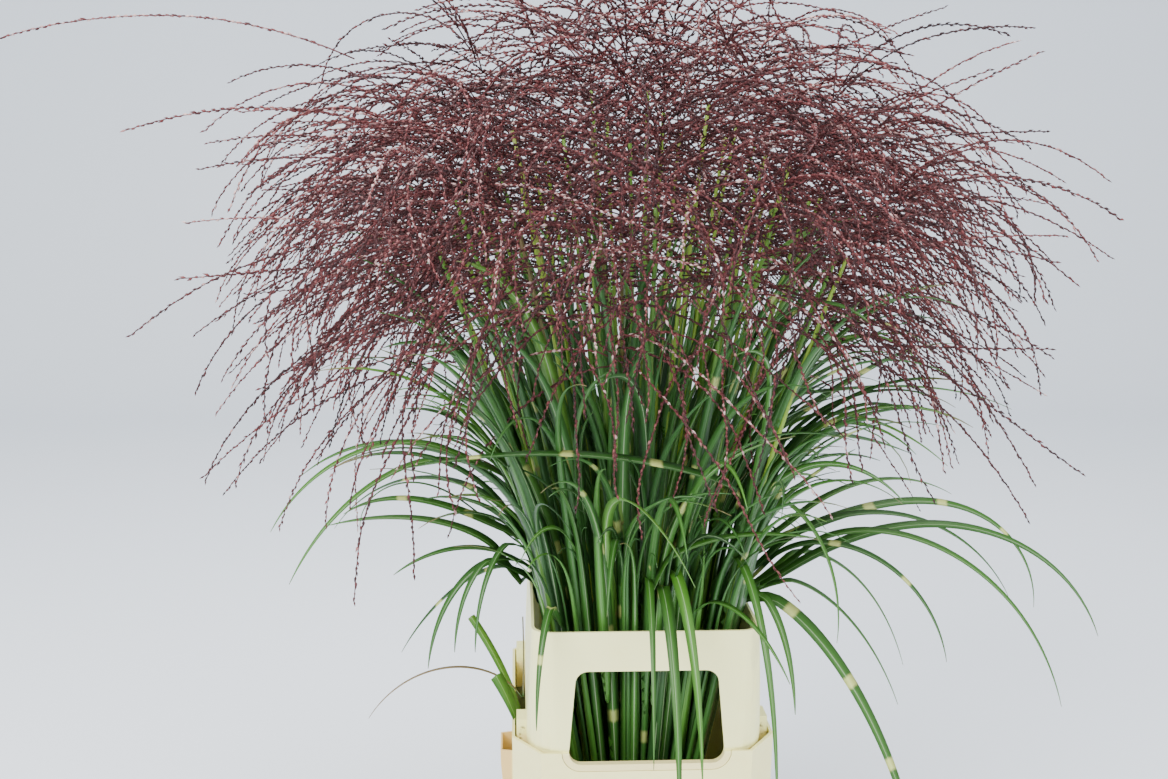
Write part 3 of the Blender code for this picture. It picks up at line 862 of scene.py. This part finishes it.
def build_leaves(
        name, paths, headings, lengths, widths, tones, first_bands, ribs, dry_tips, twists, blunt=0.0):
    """Ribbons along the paths.  Half width: rises over the first tenth, then falls to the tip
    as the distance left to the power 0.8.  The V's depth is the fold times the width, and the
    blade turns about its own line by the twist, a part of it at the foot and all at the tip."""
    count, rings = paths.shape[:2]
    share = np.linspace(0.0, 1.0, rings)[None, :]
    level = np.stack([-np.sin(headings), np.cos(headings), np.zeros_like(headings)], axis=-1)
    _, side, up = frames_along(paths, level)
    angle = (twists[:, None] * (TWIST_AT_FOOT + (1.0 - TWIST_AT_FOOT) * share))[..., None]
    side, up = side * np.cos(angle) + up * np.sin(angle), up * np.cos(angle) - side * np.sin(angle)
    taper = np.clip(1.55 * (1.0 - share), 0.0, 1.0) ** 0.8
    taper = taper + (1.0 - taper) * np.reshape(blunt, (-1, 1))
    shape = np.minimum(0.45 + share * 5.5, 1.0) * taper
    half = widths[:, None] / 2.0 * shape + 0.0003
    deep = 2.0 * half * (LEAF_FOLD + 0.45 * np.exp(-share * 14.0))
    flat = np.zeros_like(half)
    across = np.stack([flat, half, flat, -half], axis=-1)
    above = np.stack([flat - LEAF_THICK, deep, flat + 0.0001, deep], axis=-1)
    points = swept(paths, side, up, across, above)
    ones = np.ones((count, rings, 4))
    reach = share[..., None] * lengths[:, None, None]
    values = {
        "across": np.array([0.0, 1.0, 0.0, -1.0]) * ones,
        "reach": reach * ones,
        "tone": tones[:, None, None] * ones,
        "rib": ribs[:, None, None] * ones,
        "phase": (reach - first_bands[:, None, None]) / BAND_GAP * ones,
        "banded": (first_bands[:, None, None] > 0) * (share[..., None] < 0.85) * ones,
        "dry": np.clip((share[..., None] - 1.0 + dry_tips[:, None, None]) * 12.0, 0.0, 1.0) * ones,
    }
    faces = swept_faces(count, rings, 4)
    under = np.tile(np.array([1.0, 0.0, 0.0, 1.0]), count * (rings - 1))
    under = np.concatenate([under, np.zeros(len(faces[1]))])
    return add_piece(name, points, faces, [leaf_green], values, {"underside": under})


# %% [markdown]
# ### Leaves that follow their stems
# Seven leaves to a stem run straight up with it, as far as the collar's rim at
# least, and then lean out.  Those of the outer stems arch over and hang, and those
# of the inner ones stay nearly upright.  A ring of edge leaves fills the collar
# out to its walls and corners.

# %% Many leaves
LEAVES_PER_STEM = 7
LEAF_CEILING = 0.80
EDGE_LEAVES = 120
RIM_CLEAR = COLLAR_TOP + 0.012
leaf_stem = np.repeat(order, LEAVES_PER_STEM)
leaf_level = np.tile(np.arange(LEAVES_PER_STEM), STEM_COUNT)
edge_turn = np.arange(EDGE_LEAVES) * 2.0 * math.pi / EDGE_LEAVES + dice.normal(0.0, 0.03, EDGE_LEAVES)
edge = np.stack([np.cos(edge_turn), np.sin(edge_turn)], axis=1)
edge *= np.sum(np.abs(edge) ** SQUARENESS, axis=1, keepdims=True) ** (-1.0 / SQUARENESS)
edge *= dice.uniform(0.86, 0.985, (EDGE_LEAVES, 1)) * np.array([1.0, 1.05])
base_height = np.concatenate([
    0.035 + 0.085 * leaf_level + dice.uniform(0.0, 0.08, len(leaf_stem)),
    dice.uniform(0.04, 0.36, EDGE_LEAVES)])
leaf_place = np.concatenate([stem_places[leaf_stem], edge])
leaf_count = len(leaf_place)
leaf_base = stem_point(leaf_place, base_height)
leaf_ahead = stem_point(leaf_place, base_height + 0.02) - leaf_base
stem_heading = np.arctan2(leaf_ahead[:, 1], leaf_ahead[:, 0])
stem_slope = np.arctan2(leaf_ahead[:, 2], np.hypot(leaf_ahead[:, 0], leaf_ahead[:, 1]))
leaf_reach = np.concatenate([radius[leaf_stem], np.full(EDGE_LEAVES, 0.9)])
leaf_length = dice.uniform(0.38, 0.56, leaf_count)
hidden = np.clip(RIM_CLEAR - base_height, 0.0, None) / np.sin(stem_slope)
to_ceiling = (LEAF_CEILING - base_height + dice.normal(0.0, 0.05, leaf_count)) * 1.1
leaf_length = np.minimum(leaf_length, to_ceiling)
leaf_length = np.maximum(leaf_length, hidden + 0.14)
straight = np.clip(hidden / leaf_length, 0.10, 0.9)
droop = np.interp(leaf_reach, [0.0, 0.6, 1.0], [66.0, 38.0, -20.0]) + dice.normal(0.0, 22.0, leaf_count)
turn_away = dice.normal(0.0, 0.55, leaf_count)
many_paths, many_headings = turned_arches(
    leaf_base, stem_heading, turn_away, leaf_length, stem_slope, np.radians(droop),
    dice.uniform(1.1, 2.2, leaf_count), straight, LEAF_RINGS - 1)
many_widths = dice.uniform(0.009, 0.0145, leaf_count)
# Each blade's tone is random, and lower blades get a darker tone: painted shade deeper in the clump
many_tones_with_shade = np.clip(dice.normal(0.42, 0.22, leaf_count) + 0.25 * (base_height - 0.3), 0.0, 1.0)
many_bands = np.where(dice.random(leaf_count) < 0.15, dice.uniform(0.05, 0.20, leaf_count), -1.0)
many_ribs = np.where(dice.random(leaf_count) < 0.5, 0.75, 0.15)
many_dry = np.where(dice.random(leaf_count) < 0.3, 0.10, 0.0)
many_twists = dice.normal(0.0, 0.9, leaf_count)
side_angle = np.degrees(np.arctan2(leaf_place[:, 1], leaf_place[:, 0]))
sectors = {
    "leaves_right": (side_angle >= -45) & (side_angle < 45),
    "leaves_rear": (side_angle >= 45) & (side_angle < 135),
    "leaves_left": (side_angle >= 135) | (side_angle < -135),
    "leaves_front": (side_angle >= -135) & (side_angle < -45),
}
blade_nodes = {
    "leaves_right": [n for n in nodes if n.startswith(("blade_right", "blade_banded", "blade_corner"))],
    "leaves_rear": [n for n in nodes if n.startswith("blade_rear")],
    "leaves_left": [n for n in nodes if n.startswith("blade_left")],
    "leaves_front": [n for n in nodes if n.startswith("blade_front")],
}
for name, chosen in sectors.items():
    piece = build_leaves(
        name, many_paths[chosen], many_headings[chosen], leaf_length[chosen], many_widths[chosen],
        many_tones_with_shade[chosen], many_bands[chosen], many_ribs[chosen], many_dry[chosen], many_twists[chosen])
    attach(piece, "root")
    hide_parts(*blade_nodes[name])
    print(name, int(chosen.sum()), "leaves; stands for", len(blade_nodes[name]), "blades")

# %% [markdown]
# ### Leaves that lie over the rim
# A few leaves give the clump its outline: long ones that arch out over the collar's
# right side, shorter ones on the left, and some that hang in front of the window.
# Each is one arch, with a smooth root that rises inside the collar and crosses its
# rim.  Most of these arches were fitted to the clump's outline by a separate
# program, then rounded, and many of them adjusted by hand; a few at the end of
# each group, and the widths and bands, were chosen by hand alone.

# %% Rim leaves
# place (x, y, z), heading, length, first and last slope, bend, width in mm, first band
RIM_LEAVES = {
    "leaves_over_right": (
        ((0.179, -0.02, 0.447), -4, 0.42, 33, -71, 1.28, 12, 0.0),
        ((0.195, 0.02, 0.480), 10, 0.39, 19, -90, 1.73, 12, 0.16),
        ((0.192, -0.05, 0.480), -12, 0.38, 46, -76, 0.60, 10, 0.0),
        ((0.196, 0.03, 0.496), 20, 0.23, 33, -29, 1.0, 10, 0.0),
        ((0.184, 0.03, 0.639), 14, 0.30, 4, -25, 2.0, 10, 0.0),
        ((0.150, 0.05, 0.578), 28, 0.34, 26, -9, 3.0, 15, 0.06),
        ((0.154, 0.05, 0.579), 35, 0.28, 14, -21, 0.5, 13, 0.12),
        ((0.167, -0.05, 0.614), -16, 0.19, 78, -41, 0.35, 9, 0.0),
        ((0.132, -0.08, 0.543), -40, 0.20, 60, -95, 0.35, 8, 0.0),
        ((0.137, -0.10, 0.437), -24, 0.40, 3, -80, 0.30, 15, 0.105),
        ((0.133, -0.11, 0.440), -50, 0.13, -20, -86, 0.35, 9, 0.0),
        ((0.171, -0.03, 0.435), 0, 0.21, 13, -69, 0.35, 9, 0.0),
        ((0.189, 0.04, 0.445), 16, 0.24, 39, -72, 0.35, 10, 0.0),
        ((0.160, 0.00, 0.460), 4, 0.34, 44, -62, 0.9, 11, 0.0),
        ((0.150, -0.06, 0.470), -20, 0.26, 50, -80, 0.7, 10, 0.14)),
    "leaves_over_left": (
        ((-0.216, -0.02, 0.590), 184, 0.23, 23, -62, 0.76, 8, 0.0),
        ((-0.216, -0.05, 0.583), 200, 0.22, 8, -63, 0.63, 8, 0.0),
        ((-0.146, -0.04, 0.499), 192, 0.19, 28, -33, 2.3, 13, 0.10),
        ((-0.158, 0.02, 0.460), 172, 0.21, 60, -15, 0.42, 13, 0.0),
        ((-0.154, -0.06, 0.480), 208, 0.13, 24, -30, 1.0, 9, 0.0),
        ((-0.157, -0.05, 0.467), 196, 0.15, 27, -84, 0.35, 9, 0.0),
        ((-0.147, -0.02, 0.452), 180, 0.16, 14, -60, 0.38, 9, 0.05),
        ((-0.165, -0.07, 0.474), 215, 0.11, 0, -87, 0.35, 7, 0.0),
        ((-0.144, -0.10, 0.500), 240, 0.13, 10, -88, 0.5, 7, 0.0),
        ((-0.184, 0.00, 0.515), 188, 0.17, 40, -100, 1.7, 3, 0.0),
        ((-0.160, 0.03, 0.540), 165, 0.26, 42, -40, 0.9, 11, 0.0),
        ((-0.150, 0.06, 0.500), 150, 0.28, 38, -52, 0.8, 11, 0.12)),
    "leaves_over_front": (
        ((0.063, -0.21, 0.593), 186, 0.32, 21, -11, 0.84, 12, 0.02),
        ((0.017, -0.19, 0.502), -8, 0.16, 64, -8, 0.38, 11, 0.0),
        ((0.000, -0.170, 0.481), -92, 0.22, 32, -86, 0.45, 8, 0.0),
        ((0.014, -0.170, 0.474), -86, 0.27, 26, -88, 0.30, 13, 0.0),
        ((0.026, -0.170, 0.490), -80, 0.23, 20, -84, 0.32, 12, 0.0),
        ((0.092, -0.160, 0.500), -80, 0.28, 30, -88, 0.35, 9, 0.0),
        ((-0.098, -0.165, 0.450), -104, 0.14, 40, -88, 0.35, 8, 0.03),
        ((-0.030, -0.170, 0.520), -100, 0.13, 55, -60, 0.5, 9, 0.0),
        ((0.060, -0.175, 0.455), -60, 0.15, 35, -50, 0.6, 7, 0.0)),
}
RIM_STEPS = 12
HANDLE = 0.45               # of the way from foot to start, for the curve's two inner knots
RIM_OVER = 0.006
ROOT_DROP, ROOT_LOWEST = 0.13, 0.30
ROOT_INSIDE = 0.78
WALL_ACROSS, WALL_ALONG, WALL_ZONE = 0.1125, 0.1690, 0.016


def rooted(starts, headings, first, free):
    """Adds a root: a cubic curve from a point within the bundle, leaving it along the stems,
    to the arch's start, reached along its first slope.  Near the rim it is kept above it."""
    low = np.maximum(starts[:, 2] - ROOT_DROP, ROOT_LOWEST)
    across, along = fan(low)
    place = starts[:, :2] / np.stack([across, along], axis=1)
    place = place / np.maximum(np.abs(place).max(axis=1, keepdims=True) / ROOT_INSIDE, 1.0)
    foot = stem_point(place, low)
    rise = unit(stem_point(place, low + 0.02) - foot)
    arrive = np.stack([
        np.cos(first) * np.cos(headings), np.cos(first) * np.sin(headings), np.sin(first)], axis=-1)
    reach = np.linalg.norm(starts - foot, axis=1, keepdims=True) * HANDLE
    t = np.linspace(0.0, 1.0, RIM_STEPS)[None, :-1, None]
    knots = [foot, foot + rise * reach, starts - arrive * reach, starts]
    weights = [(1 - t) ** 3, 3 * t * (1 - t) ** 2, 3 * t**2 * (1 - t), t**3]
    root = sum(weight * knot[:, None, :] for weight, knot in zip(weights, knots))
    path = np.concatenate([root, free], axis=1)
    past_wall = np.maximum(np.abs(path[..., 0]) - WALL_ACROSS, np.abs(path[..., 1]) - WALL_ALONG)
    near = (past_wall > 0) & (past_wall < WALL_ZONE)
    path[..., 2] = np.where(near, np.maximum(path[..., 2], COLLAR_TOP + RIM_OVER), path[..., 2])
    return path


def path_lengths(paths):
    """The length of each path, adding up its steps."""
    return np.linalg.norm(np.diff(paths, axis=1), axis=2).sum(axis=1)


TURN_TO_FRONT = 0.85        # how far a sideways leaf shows its face to the front, radians
for name, rows in RIM_LEAVES.items():
    starts = np.array([row[0] for row in rows])
    heading, length, first, last, bend, width, first_band = np.array([row[1:] for row in rows], float).T
    heading, first, last = np.radians(heading), np.radians(first), np.radians(last)
    count = len(rows)
    free, turned = turned_arches(starts, heading, np.zeros(count), length, first, last, bend,
                                 np.zeros(count), LEAF_RINGS)
    paths = rooted(starts, heading, first, free)
    turned = np.concatenate([np.repeat(turned[:, :1], RIM_STEPS - 1, axis=1), turned], axis=1)
    whole = path_lengths(paths)
    bands = np.where(first_band > 0, first_band + whole - length, -1.0)
    tones = np.clip(dice.normal(0.50, 0.12, count), 0, 1)
    twists = TURN_TO_FRONT * np.cos(heading) + dice.normal(0.0, 0.25, count)
    piece = build_leaves(
        name, paths, turned, whole, width * 0.001, tones, bands,
        np.full(count, 0.3), np.full(count, 0.03), twists)
    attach(piece, "root")
    print(name, count, "leaves, longest", round(float(whole.max()), 3), "m")

# %% [markdown]
# ### Leaves caught beside the collar
# Two pieces are pinched between the collar and the tub's left side.  The long one
# still has its tip and the broad one was cut square.  A brown thread of a leaf and
# a stalk lean out beside them.

# %% Caught leaves
caught_starts = np.array([[-0.1292, -0.056, 0.270], [-0.1292, -0.084, 0.270], [-0.1285, -0.100, 0.330],
                          [-0.1300, -0.072, 0.318]])
caught_heading = np.radians([183.0, 186.0, 170.0, 186.0])
caught_length = np.array([0.150, 0.085, 0.090, 0.200])
caught_path, caught_turned = turned_arches(
    caught_starts, caught_heading, np.zeros(4), caught_length, np.radians([84.0, 80.0, 92.0, 62.0]),
    np.radians([58.0, 62.0, 88.0, -58.0]), np.array([0.6, 0.8, 1.0, 0.8]), np.zeros(4), LEAF_RINGS - 1)
caught = build_leaves(
    "leaves_caught", caught_path, caught_turned, caught_length, np.array([0.0095, 0.014, 0.004, 0.003]),
    np.array([0.75, 0.60, 0.3, 0.2]), np.array([-1.0, -1.0, -1.0, -1.0]), np.array([0.3, 0.2, 0.0, 0.0]),
    np.array([0.02, 0.0, 1.0, 1.0]), np.array([-1.3, -1.3, 0.0, -0.8]), blunt=np.array([0.85, 1.0, 0.8, 0.0]))
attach(caught, "root")
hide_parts("blade_caught_long", "blade_caught_cut")
print("caught pieces", len(caught_length))

# %% [markdown]
# ## Stage
# A pale sheet runs from the floor up behind in one sweep, lit by broad soft lamps.

# %% Stage and light
SWEEP_FRONT, SWEEP_BACK = -14.0, 5.0
SWEEP_ROUND, SWEEP_TOP, SWEEP_HALF = 1.5, 6.5, 14.0
bend_turn = np.linspace(0.0, math.pi / 2.0, 24)
profile_y = np.concatenate([
    [SWEEP_FRONT], SWEEP_BACK - SWEEP_ROUND + SWEEP_ROUND * np.sin(bend_turn), [SWEEP_BACK]])
profile_z = np.concatenate([[0.0], SWEEP_ROUND - SWEEP_ROUND * np.cos(bend_turn), [SWEEP_TOP]])
sheet_points = np.stack([
    np.stack([np.full_like(profile_y, x), profile_y, profile_z], axis=-1)
    for x in (-SWEEP_HALF, SWEEP_HALF)])
rows = len(profile_y)
low = np.arange(rows - 1)
sheet_faces = np.stack([low, low + rows, low + rows + 1, low + 1], axis=-1)
paper, paper_tree, paper_shader = new_material("studio paper", 0.9, 0.1)
paper_place = object_place(paper_tree)[0]
paper_tone = use_group(paper_tree, MOTTLE, Vector=paper_place, Scale=0.6, Fine=4.0)
paper_colour = mix_colour(paper_tree, paper_tone, (0.72, 0.755, 0.81), (0.77, 0.80, 0.85))
paper_tree.links.new(paper_colour, paper_shader.inputs["Base Color"])
backdrop = add_piece("studio_sweep", sheet_points, [sheet_faces], [paper])

world = bpy.data.worlds.new("studio world")
world.use_nodes = True
world.node_tree.nodes["Background"].inputs["Color"].default_value = (0.89, 0.95, 1.0, 1.0)
world.node_tree.nodes["Background"].inputs["Strength"].default_value = 1.25
bpy.context.scene.world = world


def soft_lamp(name, where, aim, size, power):
    """A square area lamp at a place, turned to face a point: its tilt is the angle between
    straight down and the way to the point."""
    data = bpy.data.lights.new(name, "AREA")
    data.size = size
    data.energy = power
    lamp = bpy.data.objects.new(name, data)
    bpy.context.scene.collection.objects.link(lamp)
    lamp.location = where
    direction = np.array(aim) - np.array(where)
    flat = math.hypot(direction[0], direction[1])
    lamp.rotation_euler = (math.atan2(flat, -direction[2]), 0.0, math.atan2(-direction[0], direction[1]))
    return lamp


soft_lamp("key lamp", (-2.2, -2.6, 2.9), (0.0, 0.0, 0.6), 2.2, 250.0)
soft_lamp("fill lamp", (2.6, -2.2, 1.6), (0.0, 0.0, 0.5), 2.4, 80.0)
soft_lamp("top lamp", (0.0, 0.3, 3.4), (0.0, 0.0, 0.5), 2.4, 120.0)
print("stage", 2 * SWEEP_HALF, "by", SWEEP_BACK - SWEEP_FRONT, "m")

# %% [markdown]
# ## Model box
# The model's box is printed.

# %% Model box
print("model box", [round(v, 3) for corner in cad_box for v in corner])
